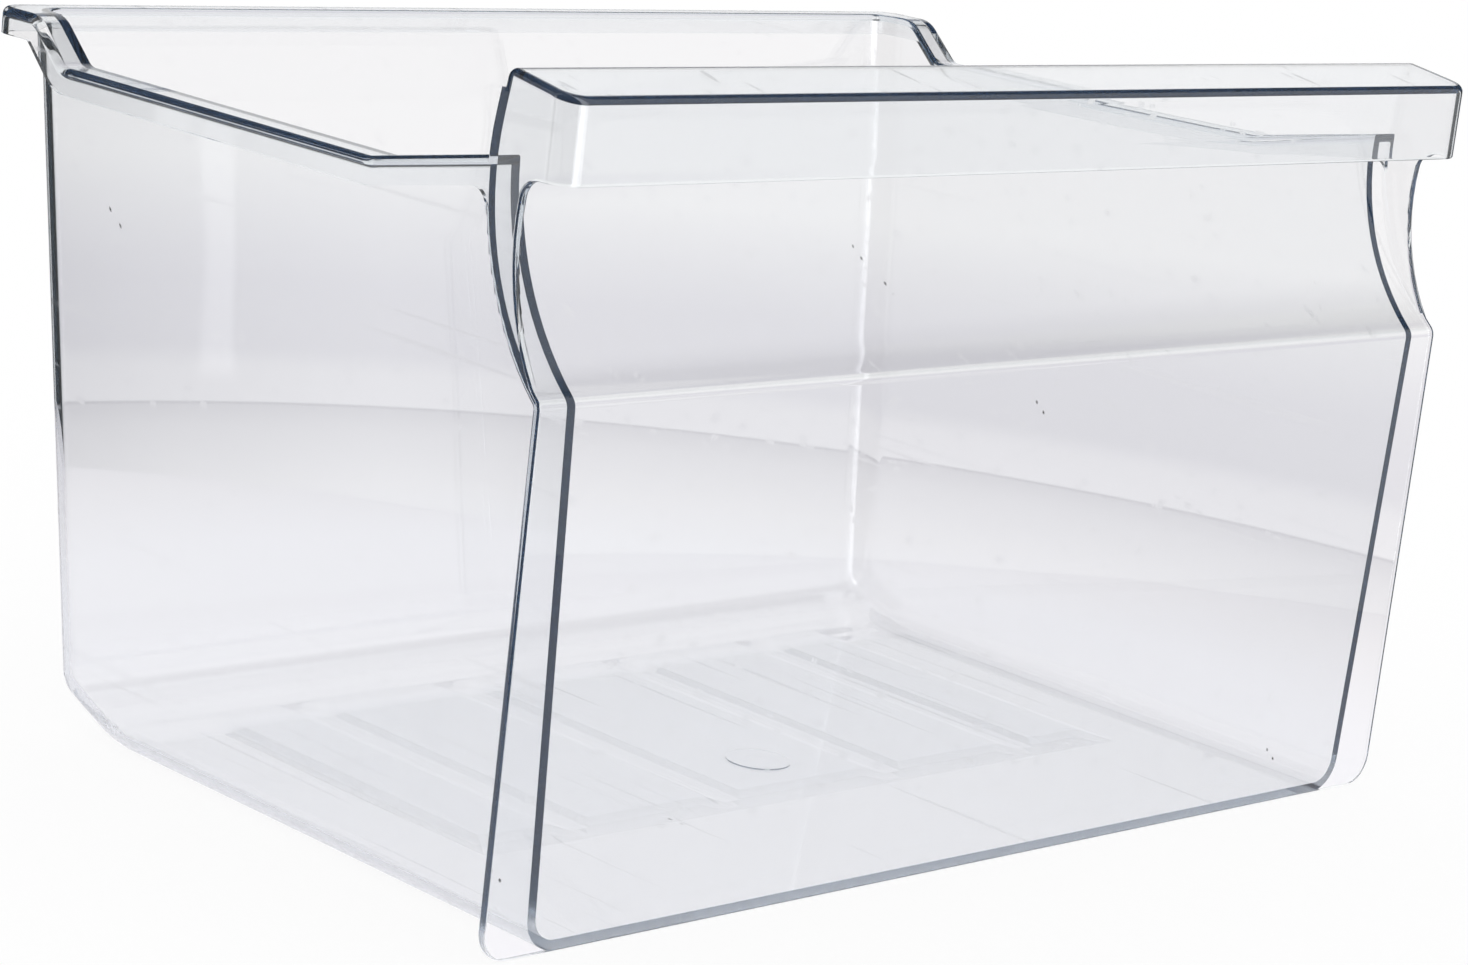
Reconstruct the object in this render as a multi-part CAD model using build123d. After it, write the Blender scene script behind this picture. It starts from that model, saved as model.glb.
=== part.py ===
from build123d import *
from math import atan2, cos, radians, sin, sqrt, tan
import os

# A freezer drawer, moulded in one piece from clear polystyrene: a drafted box, a front panel
# that stands out past the box as two wings, a hooked handle closed by gussets at its ends,
# and a channel rim along the sides and the back.
# X runs across the drawer, Y from front to back and Z up. All sizes are in millimetres.

# Overall sizes
width = 450.0                   # across the wings of the front panel
depth = 300.5                   # front face to the rear lip
handle_height = 276.2           # floor to the top plate's rear edge, before it is rounded

# Wall thicknesses
panel_wall = 3.0
side_wall = 3.4
floor_wall = 3.4
rim_wall = 3.0

# Front panel, seen from the side; drops are measured down from the handle's height
crease_drop = 97.8              # to where the flat lower panel turns back
recess_depth = 31.5             # how far the recess goes back from the front face
recess_drop = 30.2              # to the recess's deepest point
panel_lean = 10.0               # degrees that the panel leans forward above the recess
crease_radius = 5.0
wing_corner_radius = 11.0       # lower outer corners of the panel
panel_edge_radius = 1.0         # all round the panel, at the front and at the back

# Handle
handle_slope = 9.5              # degrees that the top plate falls towards the front
lip_height = 27.0               # front lip, from its lower edge to the top
handle_corner_radius = 9.0      # upright corners at the ends of the lip
handle_edge_radius = 2.8        # front and end edges of the top plate
handle_back_radius = 4.0        # rear edge of the top plate
lip_edge_radius = 1.0           # lower edges of the lip

# Gussets that carry the handle's ends down to the crease
gusset_reach = 18.5             # from the front face to the gusset's edge, where it is furthest back
gusset_drop = 16.0              # from the lip's lower edge down to that point
gusset_foot = 1.6               # from the front face to the gusset's edge at the crease
gusset_fillet_share = 0.9       # of the room beside the lip's corner that the upper fillet takes
gusset_edge_radius = 1.0

# Box
wing_reach = 19.5               # from each side of the box, at the floor, out to the wing's edge
side_draft = 2.2                # degrees
back_foot = 259.7               # outside of the back wall at floor height, from the front face
back_lean = 7.7                 # degrees
rise_start = 229.0              # where the floor turns up towards the back wall
rise_height = 13.0              # how much it has risen where it meets the back wall
box_edge_radius = 12.4          # floor to sides and upright rear corners, outside
rise_foot_radius = 55.0
rise_head_radius = 14.0

# Rim; drops are measured down from the handle's height
rim_drop = 39.2                 # to the level run along the sides
rim_front_drop = 28.2           # to where the rim meets the front panel
rim_back_drop = 24.2            # to the run along the back
ramp_length = 57.5              # rise towards the front panel
riser_length = 17.0             # steep step up to the back run
riser_setback = 26.0            # from the rear lip to the head of the steep step
skirt_height = 9.3
rim_corner_radius = 10.0
rim_edge_radius = 2.6
channel_edge_radius = 1.2       # under the rim's outer edge
mouth_edge_radius = 1.2         # inner edge of the rim, all round the mouth
skirt_fillet = 6.5              # web between the skirt and the wing
ramp_bend = 14.0
riser_foot_bend = 7.0
riser_head_bend = 12.0

# Raised pads on the floor
pad_height = 2.0
pad_field_width = 302.0         # across the tops of the pads
pad_front = 87.0                # front edge of the pads' tops
pad_side_slope = 8.0            # run of the sloping border at the sides
pad_front_slope = 13.0          # run of the sloping border at the front
groove_centres = (41.0, 114.0)  # from the middle, on both sides
groove_width = 18.0
groove_floor_width = 8.0
groove_depth = 1.0
disc_centre = 110.0
disc_diameter = 24.0
disc_height = 0.5

# Derived sizes
SPARE = 60.0                    # extra length on bodies that only cut
half_width = width / 2
box_foot_width = width - 2 * wing_reach
lean = radians(panel_lean)
draft = radians(side_draft)
crease_height = handle_height - crease_drop
recess_height = handle_height - recess_drop
rim_height = handle_height - rim_drop
rim_front_height = handle_height - rim_front_drop
rim_back_height = handle_height - rim_back_drop
recess_rise = recess_height - crease_height
recess_radius = (recess_depth**2 + recess_rise**2) / (2 * recess_depth)
recess_centre = (recess_depth - recess_radius, recess_height)
panel_middle = panel_wall / 2
above = handle_height + SPARE
far_back = depth + SPARE
lip_bottom = handle_height - lip_height - recess_depth * tan(radians(handle_slope))


def across(sketch, half_length):
    """Extrude a side view evenly to both sides of the middle."""
    return extrude(Plane.YZ * sketch, amount=half_length, both=True)


def behind(back):
    """Side view of everything behind a surface that lies `back` behind the panel's front face."""
    radius = recess_radius + back
    crease = (back, recess_height - sqrt(radius**2 - (back - recess_centre[0]) ** 2))
    deepest = (recess_depth + back, recess_height)
    turn = (recess_centre[0] + radius * cos(lean), recess_height + radius * sin(lean))
    tip = (turn[0] - (above - turn[1]) * tan(lean), above)
    middle_angle = atan2(crease[1] - recess_height, crease[0] - recess_centre[0]) / 2
    middle = (recess_centre[0] + radius * cos(middle_angle), recess_height + radius * sin(middle_angle))
    edges = [
        Line((back, -SPARE), crease),
        ThreePointArc(crease, middle, deepest),
        ThreePointArc(deepest, halfway_up(radius), turn),
        Polyline(turn, tip, (far_back, above), (far_back, -SPARE), (back, -SPARE)),
    ]
    sketch = make_face(edges)
    corner = sketch.vertices().sort_by_distance(crease)[0]
    return fillet(corner, crease_radius - back)


def halfway_up(radius):
    """Point on the recess curve midway between its deepest point and the straight lean."""
    return (recess_centre[0] + radius * cos(lean / 2), recess_height + radius * sin(lean / 2))


def back_face(height, inset):
    """How far back the back wall lies at a height."""
    back_angle = radians(back_lean)
    return back_foot + height * tan(back_angle) - inset / cos(back_angle)


def inside(inset, floor_height):
    """Side view of everything above the floor and in front of the back wall."""
    slope = atan2(rise_height, back_face(rise_height, 0) - rise_start)
    foot = (rise_start - floor_height * tan(slope / 2), floor_height)
    # Where the line of the rise, moved in by the floor's thickness, meets the moved back wall.
    back_tan = tan(radians(back_lean))
    head_y = back_face(0, inset) + back_tan * (floor_height - foot[0] * tan(slope))
    head_y = head_y / (1 - back_tan * tan(slope))
    head = (head_y, floor_height + (head_y - foot[0]) * tan(slope))
    top = (back_face(above, inset), above)
    line = FilletPolyline(
        (-SPARE, floor_height),
        foot,
        head,
        top,
        radius=[rise_foot_radius - floor_height, rise_head_radius - inset],
    )
    return make_face([line, Polyline(top, (-SPARE, above), (-SPARE, floor_height))])


panel_back = recess_depth + panel_wall
ramp_foot = panel_back + ramp_length
ramp_slope = (rim_front_height - rim_height) / ramp_length
riser_head = depth - riser_setback
rim_line = [
    (-SPARE, rim_height + (ramp_foot + SPARE) * ramp_slope),
    (ramp_foot, rim_height),
    (riser_head - riser_length, rim_height),
    (riser_head, rim_back_height),
    (far_back, rim_back_height),
]


def under_rim(drop):
    """Side view of everything under the rim's top, moved down square to it by `drop`."""
    angles = [
        atan2(after[1] - before[1], after[0] - before[0])
        for before, after in zip(rim_line, rim_line[1:])
    ]
    angles = [angles[0], *angles, angles[-1]]
    points = []
    for (y, z), angle_in, angle_out in zip(rim_line, angles, angles[1:]):
        middle = (angle_in + angle_out) / 2
        reach = drop / cos((angle_out - angle_in) / 2)
        points.append((y + reach * sin(middle), z - reach * cos(middle)))
    bends = [ramp_bend + drop, riser_foot_bend + drop, max(riser_head_bend - drop, 1.0)]
    line = FilletPolyline(*points, radius=bends)
    return make_face([line, Polyline(points[-1], (far_back, -SPARE), (-SPARE, -SPARE), points[0])])


def drafted(body, inset):
    """Trim a body to the two drafted sides of the box, set in by `inset`."""
    shift = inset / cos(draft)
    foot = box_foot_width / 2 - SPARE * tan(draft) - shift
    head = box_foot_width / 2 + above * tan(draft) - shift
    outline = Polyline((-foot, -SPARE), (foot, -SPARE), (head, above), (-head, above), close=True)
    return body & extrude(Plane.XZ * make_face(outline), amount=2 * far_back, both=True)


def rounded_box(sketch, inset):
    """Drafted body with its floor, rise and back rounded into the sides."""
    body = drafted(across(sketch, half_width), inset)
    sides = body.faces().filter_by(lambda face: abs(face.normal_at().X) > 0.9)
    low = rim_height - 2 * skirt_height
    chain = [
        edge
        for edge in sides.edges()
        if edge.center().Y > recess_depth + 2 * panel_wall and edge.center().Z < low
    ]
    return fillet(chain, box_edge_radius - inset)


def rim_block(inset):
    """Upright block with the rim's outline in plan, rounded at the rear corners."""
    length = depth - inset + SPARE
    block = Box(width - 2 * inset, length, above)
    block = Pos(0, length / 2 - SPARE, above / 2) * block
    rear = block.edges().filter_by(Axis.Z).group_by(Axis.Y)[-1]
    return fillet(rear, rim_corner_radius - inset)


def side_plates(sketch):
    """Extrude a side view into two plates, flush with the ends of the front panel."""
    plate = extrude(Plane.YZ.offset(half_width - panel_wall) * sketch, amount=panel_wall)
    return plate + mirror(plate, about=Plane.YZ)


in_front = behind(0)
in_middle = behind(panel_middle)
in_back = behind(panel_wall)
sheet = in_front - in_back

# Front panel
panel_top = handle_height - handle_back_radius - panel_wall
panel_window = make_face(
    Polyline((-SPARE, 0), (far_back, 0), (far_back, panel_top), (-SPARE, panel_top), close=True)
)
panel = across(sheet & panel_window, half_width)
panel = fillet(panel.edges().filter_by(Axis.Y).group_by(Axis.Z)[0], wing_corner_radius)
panel_ends = panel.faces().filter_by(lambda face: abs(face.normal_at().Y) < 0.01)
panel_ends = panel_ends.filter_by(lambda face: face.normal_at().Z < 0.5)
panel_outline = [
    edge
    for edge in panel_ends.edges()
    if abs((edge @ 1 - edge @ 0).normalized().Y) < 0.99 and edge.center().Z < panel_top - panel_edge_radius
]
panel = fillet(panel_outline, panel_edge_radius)

# Box and cavity
box = rounded_box(inside(0, 0) & in_middle & under_rim(0), 0)
cavity = rounded_box(inside(side_wall, floor_wall) & in_back, side_wall)

# Channel rim
band = (under_rim(0) - under_rim(skirt_height)) & in_middle
rim = across(band, half_width) & rim_block(0)
channel = across(under_rim(rim_wall) & in_middle, half_width) & rim_block(rim_wall)


def outer_edges(body):
    """Edges between the top of a rim body and its two sides, corners and back."""
    tops = body.faces().filter_by(lambda face: face.normal_at().Z > 0.5)
    sides = body.faces().filter_by(lambda face: abs(face.normal_at().Z) < 0.01)
    sides = sides.filter_by(lambda face: face.center().Y > panel_back)
    return tops.edges() & sides.edges()


rim = fillet(outer_edges(rim), rim_edge_radius) - fillet(outer_edges(channel), channel_edge_radius)

# Handle
slope_tan = tan(radians(handle_slope))
lip_top = lip_bottom + lip_height


def handle_body(inset, bottom, back):
    """Block under the sloping top plate, in front of the panel, with rounded upright corners."""
    top = lip_top - inset / cos(radians(handle_slope))
    outline = Polyline(
        (inset, bottom),
        (inset, top + inset * slope_tan),
        (SPARE, top + SPARE * slope_tan),
        (SPARE, bottom),
        close=True,
    )
    block = across(make_face(outline) - behind(back), half_width - inset)
    corners = block.edges().filter_by(Axis.Z).group_by(Axis.Y)[0]
    return fillet(corners, handle_corner_radius - inset)


handle = handle_body(0, lip_bottom, panel_wall)
top_face = handle.faces().sort_by(Axis.Z)[-1]
rear_edge = top_face.edges().sort_by(Axis.Y)[-1]
front_edges = [edge for edge in top_face.edges() if edge.center().Y < rear_edge.center().Y - 1]
handle = fillet(front_edges, handle_edge_radius)
rear_edge = handle.edges().filter_by(Axis.X).sort_by(Axis.Z)[-1]
handle = fillet(rear_edge, handle_back_radius)
handle = handle - handle_body(panel_wall, lip_bottom - SPARE, 0)
lip_edges = handle.edges().group_by(Axis.Z)[0]
lip_edges = lip_edges.filter_by(lambda edge: edge.center().Y < handle_corner_radius)
handle = fillet(lip_edges, lip_edge_radius)

# Gussets
gusset_window = make_face(
    Polyline((0, crease_height), (0, lip_bottom), (SPARE, lip_bottom), (SPARE, crease_height), close=True)
)
gusset_height = lip_bottom - gusset_drop
gusset_sag = gusset_reach - gusset_foot
gusset_radius = (gusset_sag**2 + (gusset_height - crease_height) ** 2) / (2 * gusset_sag)
gusset_sweep = Pos(gusset_reach - gusset_radius, gusset_height) * Circle(gusset_radius)
end_window = make_face(
    Polyline(
        (handle_corner_radius, lip_bottom),
        (handle_corner_radius, lip_top - handle_edge_radius),
        (SPARE, lip_top - handle_edge_radius),
        (SPARE, lip_bottom),
        close=True,
    )
)
gusset = (gusset_window - gusset_sweep) + end_window - in_middle
corner_reach = gusset_reach - gusset_radius + sqrt(gusset_radius**2 - gusset_drop**2)
gusset_fillet = gusset_fillet_share * (corner_reach - handle_corner_radius)
inner_corner = (corner_reach, lip_bottom)
gusset = fillet(gusset.vertices().sort_by_distance(inner_corner)[0], gusset_fillet)
gussets = side_plates(gusset)
gusset_rims = [
    edge
    for edge in gussets.edges().filter_by(GeomType.CIRCLE)
    if abs(edge.radius - gusset_radius) < 0.01 or abs(edge.radius - gusset_fillet) < 0.01
]
gussets = fillet(gusset_rims, gusset_edge_radius)

# Webs between the rim's skirt and the backs of the wings
skirt_line = rim_front_height - skirt_height / cos(atan2(ramp_slope, 1))
web = band + (sheet & panel_window)
web = fillet(web.vertices().sort_by_distance((panel_back, skirt_line))[0], skirt_fillet)
web_middle = (panel_middle + recess_depth + 2 * skirt_fillet, skirt_line - 2 * skirt_fillet)
web = web & (Pos(*web_middle) * Rectangle(4 * skirt_fillet, 4 * skirt_fillet + rim_wall))
webs = side_plates(web)

# Raised pads on the floor: one sloping field, split by grooves that run front to back
rise_slope = rise_height / (back_face(rise_height, 0) - rise_start)
pad_back = rise_start + (pad_height + floor_wall) / rise_slope
pad_root = floor_wall / 3


def pad_outline(height):
    """Plan of the field at a height above the floor."""
    left_over = 1 - height / pad_height
    half = pad_field_width / 2 + left_over * pad_side_slope
    front = pad_front - left_over * pad_front_slope
    outline = Polyline((-half, front), (half, front), (half, pad_back), (-half, pad_back), close=True)
    return Plane.XY.offset(height) * make_face(outline)


pads = loft([pad_outline(-pad_root), pad_outline(pad_height)], ruled=True)
groove_flare = (groove_width - groove_floor_width) / (2 * groove_depth)
for centre in [side * centre for side in (-1, 1) for centre in groove_centres]:
    floor_half = groove_floor_width / 2
    top_half = floor_half + groove_flare * pad_height
    low = pad_height - groove_depth
    high = low + pad_height
    outline = Polyline(
        (centre - floor_half, low),
        (centre + floor_half, low),
        (centre + top_half, high),
        (centre - top_half, high),
        close=True,
    )
    pads = pads - extrude(Plane.XZ * make_face(outline), amount=2 * far_back, both=True)
above_floor = across(inside(side_wall / 2, floor_wall / 2), half_width)
raised = (Pos(0, 0, floor_wall) * pads) & above_floor
disc = Cylinder(disc_diameter / 2, floor_wall + disc_height)
disc_middle = pad_height + (floor_wall + disc_height) / 2
disc = Pos(0, disc_centre, disc_middle) * disc

drawer = panel + box + rim + handle + gussets + webs - cavity + raised + disc


def faces_cavity(face):
    """Whether a face is one of the side, corner and back faces of the cavity."""
    normal = face.normal_at()
    inward = normal.X * face.center().X + normal.Y * (face.center().Y - depth / 2)
    return abs(normal.Z) < 0.3 and normal.Y < 0.5 and inward < 0


# The mouth's edge is rounded last, because it is where the cavity cuts the rim
skirt_bottom = rim_height - skirt_height
upper_faces = drawer.faces().filter_by(lambda face: face.center().Z > skirt_bottom)
upper_faces = upper_faces.filter_by(lambda face: face.normal_at().Z > 0.5)
mouth = upper_faces.edges() & drawer.faces().filter_by(faces_cavity).edges()
drawer = fillet(mouth, mouth_edge_radius)
drawer = Pos(0, -depth / 2, 0) * drawer
drawer.label = "drawer"

os.makedirs("parts", exist_ok=True)
export_step(drawer, "parts/drawer.step")
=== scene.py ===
import bpy
from math import cos, radians
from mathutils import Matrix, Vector


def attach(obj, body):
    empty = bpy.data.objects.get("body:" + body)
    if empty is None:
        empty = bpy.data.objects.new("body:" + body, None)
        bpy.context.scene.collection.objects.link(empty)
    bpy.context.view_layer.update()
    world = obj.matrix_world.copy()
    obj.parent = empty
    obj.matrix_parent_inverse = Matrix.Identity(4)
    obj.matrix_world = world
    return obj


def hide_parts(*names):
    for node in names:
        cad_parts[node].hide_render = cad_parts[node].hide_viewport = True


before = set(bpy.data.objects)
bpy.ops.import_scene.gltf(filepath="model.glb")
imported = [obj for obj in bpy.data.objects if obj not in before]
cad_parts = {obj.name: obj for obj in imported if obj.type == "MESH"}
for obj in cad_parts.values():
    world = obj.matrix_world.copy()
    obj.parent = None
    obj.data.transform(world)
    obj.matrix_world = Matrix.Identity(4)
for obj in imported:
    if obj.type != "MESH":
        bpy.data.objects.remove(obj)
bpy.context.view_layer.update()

# Drawer
# One injection moulding in clear polystyrene: box, front panel, handle, gussets and channel rim in one
# shot. The walls run into each other with moulded fillets, and the mould is polished, so there is no grain.
merge_reach = 0.00001
bpy.ops.object.select_all(action="DESELECT")
cad_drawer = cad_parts["drawer"]
cad_drawer.select_set(True)
bpy.context.view_layer.objects.active = cad_drawer
bpy.ops.object.duplicate()
drawer = bpy.context.active_object
drawer.name = "drawer_moulding"
bpy.ops.object.mode_set(mode="EDIT")
bpy.ops.mesh.select_all(action="SELECT")
bpy.ops.mesh.remove_doubles(threshold=merge_reach)
bpy.ops.object.mode_set(mode="OBJECT")
bpy.ops.object.shade_smooth()

# Flat walls keep their own normals, and a fillet takes the normal of the wall that it runs into, so that
# the clear walls bend light as flat sheets. First come the flat patches: faces that lie in one plane.
same_plane = cos(radians(0.4))
mesh = drawer.data
faces_at_edge = {}
faces_at_point = {}
for face in mesh.polygons:
    for edge in face.edge_keys:
        faces_at_edge.setdefault(edge, []).append(face.index)
    for point in face.vertices:
        faces_at_point.setdefault(point, []).append(face.index)
patch_of = list(range(len(mesh.polygons)))


def patch(face_index):
    """The patch that a face belongs to, named by one of its faces."""
    while patch_of[face_index] != face_index:
        face_index = patch_of[face_index]
    return face_index


for one, other in faces_at_edge.values():
    if mesh.polygons[one].normal.dot(mesh.polygons[other].normal) > same_plane:
        patch_of[patch(one)] = patch(other)
patch_of = [patch(i) for i in patch_of]
patch_area = {}
patch_normal = {}
for face, name in zip(mesh.polygons, patch_of):
    patch_area[name] = patch_area.get(name, 0) + face.area
    patch_normal[name] = patch_normal.get(name, 0 * face.normal) + face.normal * face.area
patch_normal = {name: normal.normalized() for name, normal in patch_normal.items()}
patch_border = {}
patch_beside = {}
for (start, end), (one, other) in faces_at_edge.items():
    pair = patch_of[one], patch_of[other]
    if pair[0] != pair[1]:
        length = (mesh.vertices[start].co - mesh.vertices[end].co).length
        for name, beside in (pair, pair[::-1]):
            patch_border[name] = patch_border.get(name, 0) + length
            patch_beside.setdefault(name, set()).add(beside)
patch_width = {name: 2 * patch_area[name] / patch_border[name] for name in patch_area}

# The strips of a round are about as wide as each other, and a wall is wider than the strips beside it.
narrowest_wall = 0.003
like_width_low = 0.7
like_width_high = 1.4
same_round = cos(radians(25))
flat = {
    name for name, strip_width in patch_width.items()
    if strip_width > narrowest_wall and not any(
        like_width_low < patch_width[beside] / strip_width < like_width_high
        and patch_normal[beside].dot(patch_normal[name]) > same_round
        for beside in patch_beside[name])
}

# Then each corner of each face gets its normal. A strip along a wall outweighs the small facets at its ends,
# and the edges of the floor's pads are too soft to bend the light much, so they are pulled upright.
same_bend = cos(radians(50))
facet_share = 0.2
pad_top = 0.008
pad_slope = 0.9
upright_pull = Vector((0, 0, 4.5))
corner_normals = []
for face in mesh.polygons:
    own = patch_of[face.index]
    for point in face.vertices:
        near = {patch_of[i] for i in faces_at_point[point]}
        near = [name for name in near if patch_normal[name].dot(face.normal) > same_bend]
        largest = max(patch_area[name] for name in near)
        near = [name for name in near if patch_area[name] > facet_share * largest]
        walls = [name for name in near if name in flat]
        if own in flat:
            normal = patch_normal[own]
        elif walls:
            normal = patch_normal[max(walls, key=lambda name: patch_normal[name].dot(face.normal))]
        else:
            normal = sum((patch_normal[name] for name in near), 0 * face.normal).normalized()
        if normal.z > pad_slope and mesh.vertices[point].co.z < pad_top:
            normal = (normal + upright_pull).normalized()
        corner_normals.append(normal)
mesh.normals_split_custom_set(corner_normals)


def linear(hex_colour):
    """sRGB hex to the linear values that the shaders take."""
    values = [int(hex_colour[i:i + 2], 16) / 255 for i in (1, 3, 5)]
    return [v / 12.92 if v <= 0.04045 else ((v + 0.055) / 1.055) ** 2.4 for v in values] + [1.0]


def add(tree, kind, settings=None, inputs=None):
    """Add a node; an input is a plain value, or another node's output to link."""
    node = tree.nodes.new(kind)
    for name, value in (settings or {}).items():
        setattr(node, name, value)
    for name, value in (inputs or {}).items():
        if isinstance(value, bpy.types.NodeSocket):
            tree.links.new(value, node.inputs[name])
        else:
            node.inputs[name].default_value = value
    return node


# Clear general-purpose polystyrene from a polished mould: high gloss, bends light a little more than glass,
# and where the eye looks along a wall it shows a painted slate glow. Shrinking leaves slow waves in the
# faces, handling a few hairline scratches, the melt a stray speck, and use dulls the lowest few centimetres.
polystyrene = bpy.data.materials.new("clear_moulded_polystyrene")
polystyrene.use_nodes = True
tree = polystyrene.node_tree
tree.nodes.clear()
place = add(tree, "ShaderNodeTexCoord")

# The slow waves.
wave_length = 0.06
wave_depth = 0.001
wave_strength = 0.05
sink_marks = add(tree, "ShaderNodeTexNoise", None,
                 {"Vector": place.outputs["Object"], "Scale": 1 / wave_length, "Detail": 0.0})
mould_wave = add(tree, "ShaderNodeBump", None,
                 {"Height": sink_marks.outputs["Fac"], "Strength": wave_strength, "Distance": wave_depth})

# Hairlines about 100 mm long, where the field peaks. Real ones are finer than a pixel, so these are drawn
# nearly a millimetre wide.
hairline_spacing = 0.0035
hairline_run = 0.16
hairline_edge = 0.74
hairline_core = 0.8
polished = 0.01
scratched = 0.2
scratch_lie = add(tree, "ShaderNodeMapping", None,
                  {"Vector": place.outputs["Object"],
                   "Rotation": (radians(24), radians(33), radians(12)),
                   "Scale": (1 / hairline_spacing, 1 / hairline_run, 1 / hairline_spacing)})
scratch_field = add(tree, "ShaderNodeTexNoise", None,
                    {"Vector": scratch_lie.outputs[0], "Scale": 1.0, "Detail": 0.0})
gloss = add(tree, "ShaderNodeMapRange", None,
            {"Value": scratch_field.outputs["Fac"], "From Min": hairline_edge, "From Max": hairline_core,
             "To Min": polished, "To Max": scratched})

# Specks under a millimetre across, about one in every 300 square centimetres. Each goes through the wall on
# a slant, so it shows on both faces.
speck_spacing = 0.17
speck_core = 0.0003
speck_edge = 0.0006
speck_lie = add(tree, "ShaderNodeMapping", None,
                {"Vector": place.outputs["Object"], "Rotation": (radians(41), radians(29), 0)})
speck_field = add(tree, "ShaderNodeTexVoronoi", {"feature": "F1", "voronoi_dimensions": "2D"},
                  {"Vector": speck_lie.outputs[0], "Scale": 1 / speck_spacing})
speck = add(tree, "ShaderNodeMapRange", None,
            {"Value": speck_field.outputs["Distance"],
             "From Min": speck_core / speck_spacing, "From Max": speck_edge / speck_spacing,
             "To Min": 1.0, "To Max": 0.0})
melt = add(tree, "ShaderNodeMix", {"data_type": "RGBA"},
           {0: speck.outputs[0], 6: linear("#ffffff"), 7: linear("#2c2a2b")})

# Wear towards the foot.
worn_height = 0.05
worn_clarity = 0.975
new_clarity = 0.99
height = add(tree, "ShaderNodeSeparateXYZ", None, {0: place.outputs["Object"]})
clarity = add(tree, "ShaderNodeMapRange", None,
              {"Value": height.outputs["Z"], "From Min": 0.0, "From Max": worn_height,
               "To Min": worn_clarity, "To Max": new_clarity})

# The scuffed underside scatters light that runs along inside the floor, so the floor's edge stays pale.
scuffed_top = 0.006
unscuffed_from = 0.012
scuffed_roughness = 0.8
once_reflected = 0.5
ray = add(tree, "ShaderNodeLightPath")
inner = add(tree, "ShaderNodeMath", {"operation": "GREATER_THAN"},
            {0: ray.outputs["Glossy Depth"], 1: once_reflected})
scuffs = add(tree, "ShaderNodeMapRange", None,
             {"Value": height.outputs["Z"], "From Min": scuffed_top, "From Max": unscuffed_from,
              "To Min": scuffed_roughness, "To Max": 0.0})
scatter = add(tree, "ShaderNodeMath", {"operation": "MULTIPLY"},
              {0: inner.outputs[0], 1: scuffs.outputs[0]})
finish = add(tree, "ShaderNodeMath", {"operation": "ADD"}, {0: gloss.outputs[0], 1: scatter.outputs[0]})

# Painted light: once a ray has been reflected three times inside a wall, part of the surface turns diffuse
# and slate blue, a painted slate glow that stands in for light guided along the wall.
thrice_reflected = 2.5
painted_slate_share = 0.42
long_way = add(tree, "ShaderNodeMath", {"operation": "GREATER_THAN"},
               {0: ray.outputs["Glossy Depth"], 1: thrice_reflected})
guided = add(tree, "ShaderNodeMath", {"operation": "SUBTRACT", "use_clamp": True},
             {0: long_way.outputs[0], 1: scatter.outputs[0]})
painted_slate_amount = add(tree, "ShaderNodeMath", {"operation": "MULTIPLY"}, {0: guided.outputs[0], 1: painted_slate_share})
clearness = add(tree, "ShaderNodeMath", {"operation": "SUBTRACT"},
                {0: clarity.outputs[0], 1: painted_slate_amount.outputs[0]})
# The base colour holds the real specks, and the painted slate on rays that have run along inside a wall.
specks_and_painted_slate = add(tree, "ShaderNodeMix", {"data_type": "RGBA"},
                 {0: guided.outputs[0], 6: melt.outputs[2], 7: linear("#a8c8e6")})
clear_wall = add(tree, "ShaderNodeBsdfPrincipled", None, {
    "Base Color": specks_and_painted_slate.outputs[2],
    "Roughness": finish.outputs[0],
    "IOR": 1.59,
    "Transmission Weight": clearness.outputs[0],
    "Normal": mould_wave.outputs["Normal"],
})
depth_tint = add(tree, "ShaderNodeVolumeAbsorption", None, {"Color": linear("#6890ac"), "Density": 20.0})
add(tree, "ShaderNodeOutputMaterial", None,
    {"Surface": clear_wall.outputs["BSDF"], "Volume": depth_tint.outputs["Volume"]})
drawer.data.materials.clear()
drawer.data.materials.append(polystyrene)
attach(drawer, "root")
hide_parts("drawer")

# Floor
# White studio paper, with a round white table top under the drawer. Both are plain white to the eye, with
# the drawer's soft shadow. Through the plastic and in reflections they glow instead with painted shade by
# distance:
# darker towards the table's rim, a painted dark line at the rim, a lighter band past it, then grey paper.
floor_width = 14.0
floor_drop = 0.0003
table_radius = 0.55
shadow_share = 0.1
bpy.ops.mesh.primitive_plane_add(size=floor_width, location=(0, 0, -floor_drop))
floor = bpy.context.active_object
floor.name = "studio_floor"
# Distance from the drawer's middle, in metres, and the painted shade there.
painted_paper_shades = (
    (0.0, "#fefcff"), (0.3, "#fefcff"), (table_radius - 0.16, "#f8f5f7"), (table_radius - 0.05, "#ebe8eb"),
    (table_radius - 0.006, "#e0dde1"), (table_radius - 0.002, "#d1ced3"), (table_radius, "#d1ced3"),
    (table_radius + 0.003, "#f3f0f3"), (table_radius + 0.08, "#f1eef1"), (table_radius + 0.13, "#e6e3e8"),
    (0.87, "#e8e5ea"), (1.3, "#fefcfc"),
)
last_reach = painted_paper_shades[-1][0]
white_paper = bpy.data.materials.new("white_studio_paper")
white_paper.use_nodes = True
tree = white_paper.node_tree
tree.nodes.clear()
ray = add(tree, "ShaderNodeLightPath")
place = add(tree, "ShaderNodeTexCoord")
distance = add(tree, "ShaderNodeVectorMath", {"operation": "LENGTH"}, {0: place.outputs["Object"]})
share = add(tree, "ShaderNodeMath", {"operation": "DIVIDE"}, {0: distance.outputs["Value"], 1: last_reach})
painted_through_shade = add(tree, "ShaderNodeValToRGB", None, {0: share.outputs[0]})
while len(painted_through_shade.color_ramp.elements) < len(painted_paper_shades):
    painted_through_shade.color_ramp.elements.new(1.0)
for stop, (reach, shade) in zip(painted_through_shade.color_ramp.elements, painted_paper_shades):
    stop.position = reach / last_reach
    stop.color = linear(shade)
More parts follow.
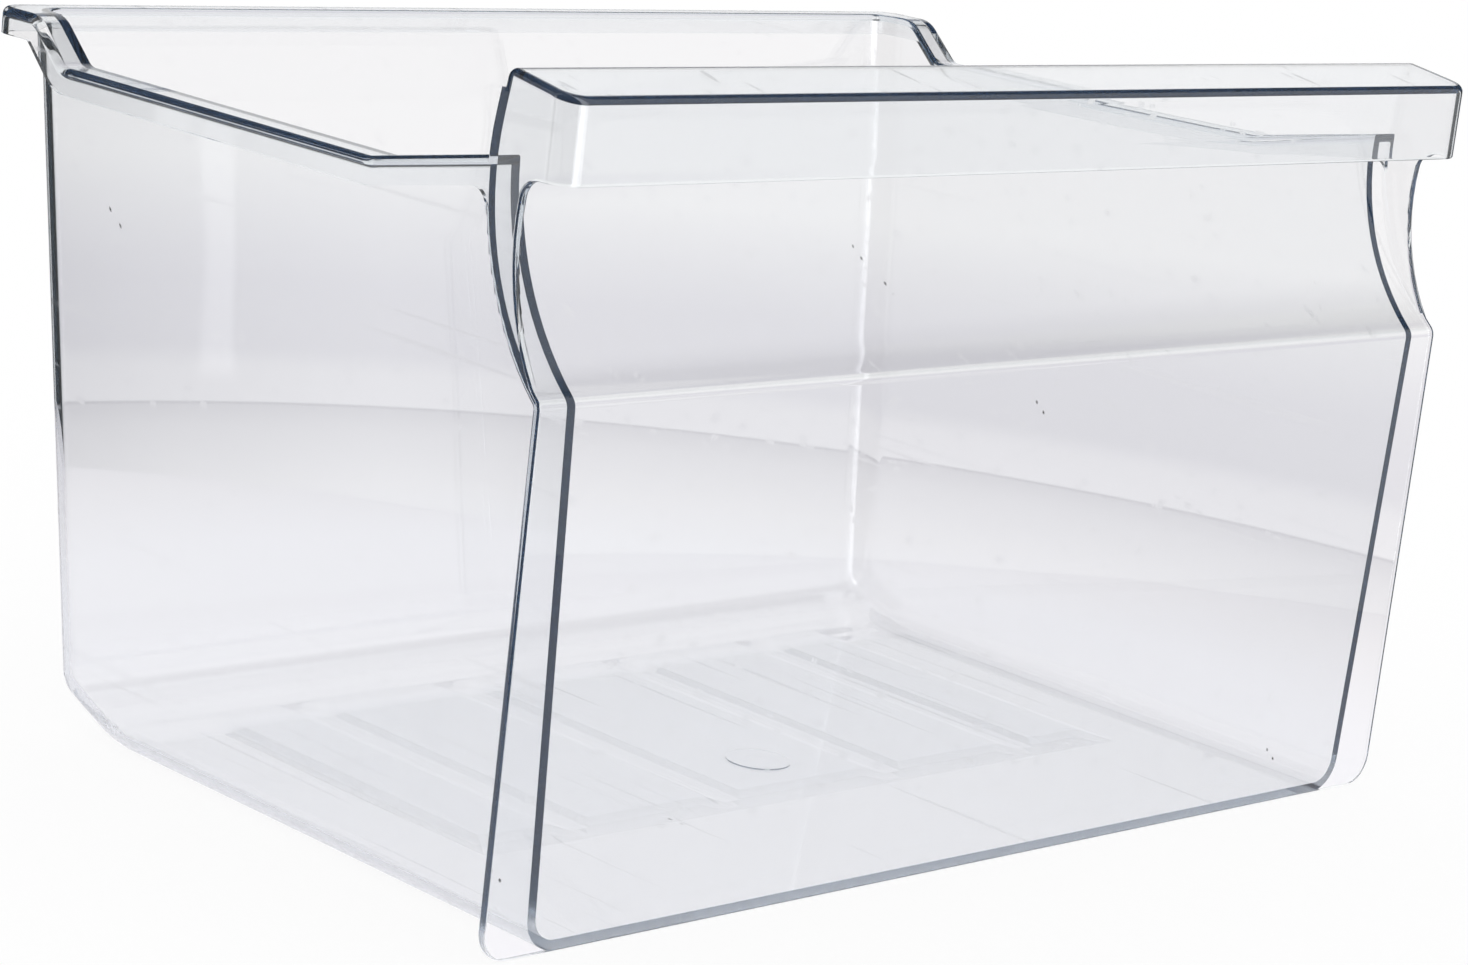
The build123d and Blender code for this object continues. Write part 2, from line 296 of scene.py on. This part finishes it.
# The paper glows with this painted shade to every ray but camera and diffuse rays, in place of real shadow
# and falloff.
painted_paper_glow = add(tree, "ShaderNodeEmission", None,
                 {"Color": painted_through_shade.outputs["Color"], "Strength": 1.0})
paper = add(tree, "ShaderNodeBsdfDiffuse", None, {"Color": linear("#ffffff")})
white_glow = add(tree, "ShaderNodeEmission", None, {"Color": linear("#ffffff"), "Strength": 1.0})
shadowed_white = add(tree, "ShaderNodeMixShader", None,
                     {0: shadow_share, 1: white_glow.outputs[0], 2: paper.outputs[0]})
seen_paper = add(tree, "ShaderNodeMixShader", None,
                 {0: ray.outputs["Is Camera Ray"], 1: painted_paper_glow.outputs[0], 2: shadowed_white.outputs[0]})
lit_paper = add(tree, "ShaderNodeMixShader", None,
                {0: ray.outputs["Is Diffuse Ray"], 1: seen_paper.outputs[0], 2: paper.outputs[0]})
# In reflections the table stands alone in the room.
reflected = add(tree, "ShaderNodeMath", {"operation": "GREATER_THAN"},
                {0: ray.outputs["Glossy Depth"], 1: once_reflected})
past_table = add(tree, "ShaderNodeMath", {"operation": "GREATER_THAN"},
                 {0: distance.outputs["Value"], 1: table_radius})
only_table = add(tree, "ShaderNodeMath", {"operation": "MULTIPLY"},
                 {0: reflected.outputs[0], 1: past_table.outputs[0]})
open_room = add(tree, "ShaderNodeBsdfTransparent")
paper_or_room = add(tree, "ShaderNodeMixShader", None,
                    {0: only_table.outputs[0], 1: lit_paper.outputs[0], 2: open_room.outputs[0]})
add(tree, "ShaderNodeOutputMaterial", None, {"Surface": paper_or_room.outputs[0]})
floor.data.materials.append(white_paper)

# Room light
# Soft white light from all round. In reflections the room shows the backdrop behind the drawer and a bright
# strip light in front, with dark gaps between them, which give clear plastic its dark edges.
room = bpy.data.worlds.new("soft_white_room")
bpy.context.scene.world = room
room.use_nodes = True
tree = room.node_tree
tree.nodes.clear()
strip_glow = 6.0
# Heading in degrees, counted from the drawer's right side towards its back, with the shade and brightness.
room_shades = (
    (-180, "#dfe8ee", 0.05), (-103, "#dfe8ee", 0.05), (-98, "#ffffff", 3.4), (-71, "#ffffff", 3.4),
    (-66, "#ffffff", 1.0), (-25, "#ffffff", 1.0), (-10, "#dfe8ee", 0.03), (28, "#dfe8ee", 0.03),
    (32, "#ffffff", 1.0), (55, "#ffffff", 1.0), (59, "#dfe8ee", 0.03), (120, "#dfe8ee", 0.03),
    (124, "#ffffff", 0.1), (126.2, "#ffffff", 0.55), (129.5, "#ffffff", 0.95), (130.6, "#ffffff", 0.95),
    (132, "#ffffff", 0.4), (134, "#ffffff", 0.65), (147, "#ffffff", 0.65), (152, "#dfe8ee", 0.05),
    (180, "#dfe8ee", 0.05),
)
ray = add(tree, "ShaderNodeLightPath")
mirrored = add(tree, "ShaderNodeMath", {"operation": "GREATER_THAN"},
               {0: ray.outputs["Glossy Depth"], 1: once_reflected})
unscattered = add(tree, "ShaderNodeMath", {"operation": "LESS_THAN"},
                  {0: ray.outputs["Diffuse Depth"], 1: once_reflected})
reflected = add(tree, "ShaderNodeMath", {"operation": "MULTIPLY"},
                {0: mirrored.outputs[0], 1: unscattered.outputs[0]})
direction = add(tree, "ShaderNodeTexCoord")
parts = add(tree, "ShaderNodeSeparateXYZ", None, {0: direction.outputs["Generated"]})
heading = add(tree, "ShaderNodeMath", {"operation": "ARCTAN2"},
              {0: parts.outputs["Y"], 1: parts.outputs["X"]})
share = add(tree, "ShaderNodeMapRange", None,
            {"Value": heading.outputs[0], "From Min": radians(-180), "From Max": radians(180)})
room_shade = add(tree, "ShaderNodeValToRGB", None, {0: share.outputs[0]})
while len(room_shade.color_ramp.elements) < len(room_shades):
    room_shade.color_ramp.elements.new(1.0)
for stop, (degrees, shade, brightness) in zip(room_shade.color_ramp.elements, room_shades):
    stop.position = (degrees + 180) / 360
    stop.color = [value * brightness / strip_glow for value in linear(shade)]
plain_light = add(tree, "ShaderNodeBackground", None, {"Color": (1, 1, 1, 1), "Strength": 1.0})
room_glow = add(tree, "ShaderNodeBackground", None,
                {"Color": room_shade.outputs["Color"], "Strength": strip_glow})

# A tall lamp, about half a degree wide, stands behind the drawer on the left and shows in its left wall. The
# foot's two heights are the sine of the angle at which the lamp ends.
lamp_heading = 126.86
lamp_core = 0.2
lamp_edge = 0.3
lamp_brightness = 0.45
foot_bottom = -0.258
foot_top = -0.253
lamp_offset = add(tree, "ShaderNodeMath", {"operation": "SUBTRACT"},
                  {0: heading.outputs[0], 1: radians(lamp_heading)})
lamp_reach = add(tree, "ShaderNodeMath", {"operation": "ABSOLUTE"}, {0: lamp_offset.outputs[0]})
lamp = add(tree, "ShaderNodeMapRange", None,
           {"Value": lamp_reach.outputs[0], "From Min": radians(lamp_core), "From Max": radians(lamp_edge),
            "To Min": lamp_brightness, "To Max": 0.0})
lamp_foot = add(tree, "ShaderNodeMapRange", None,
                {"Value": parts.outputs["Z"], "From Min": foot_bottom, "From Max": foot_top})
standing_lamp = add(tree, "ShaderNodeMath", {"operation": "MULTIPLY"},
                    {0: lamp.outputs[0], 1: lamp_foot.outputs[0]})
lamp_glow = add(tree, "ShaderNodeBackground", None,
                {"Color": (1, 1, 1, 1), "Strength": standing_lamp.outputs[0]})
room_and_lamp = add(tree, "ShaderNodeAddShader", None, {0: room_glow.outputs[0], 1: lamp_glow.outputs[0]})
seen_room = add(tree, "ShaderNodeMixShader", None,
                {0: reflected.outputs[0], 1: plain_light.outputs[0], 2: room_and_lamp.outputs[0]})
add(tree, "ShaderNodeOutputWorld", None, {"Surface": seen_room.outputs[0]})

# Camera
# In front of the drawer on its left, a little above the rim, and turned a little about its own axis.
# The lens and the place are fitted to the drawer's straight edges.
camera_data = bpy.data.cameras.new("camera")
camera_data.sensor_fit = "HORIZONTAL"
camera_data.sensor_width = 36.0
camera_data.lens = 98.33
camera = bpy.data.objects.new("camera", camera_data)
camera.location = (-1.01642, -1.01628, 0.42923)
camera.rotation_euler = (radians(77.056), radians(-6.510), radians(-43.883))
bpy.context.collection.objects.link(camera)
bpy.context.scene.camera = camera

bpy.context.scene.view_settings.view_transform = "Standard"
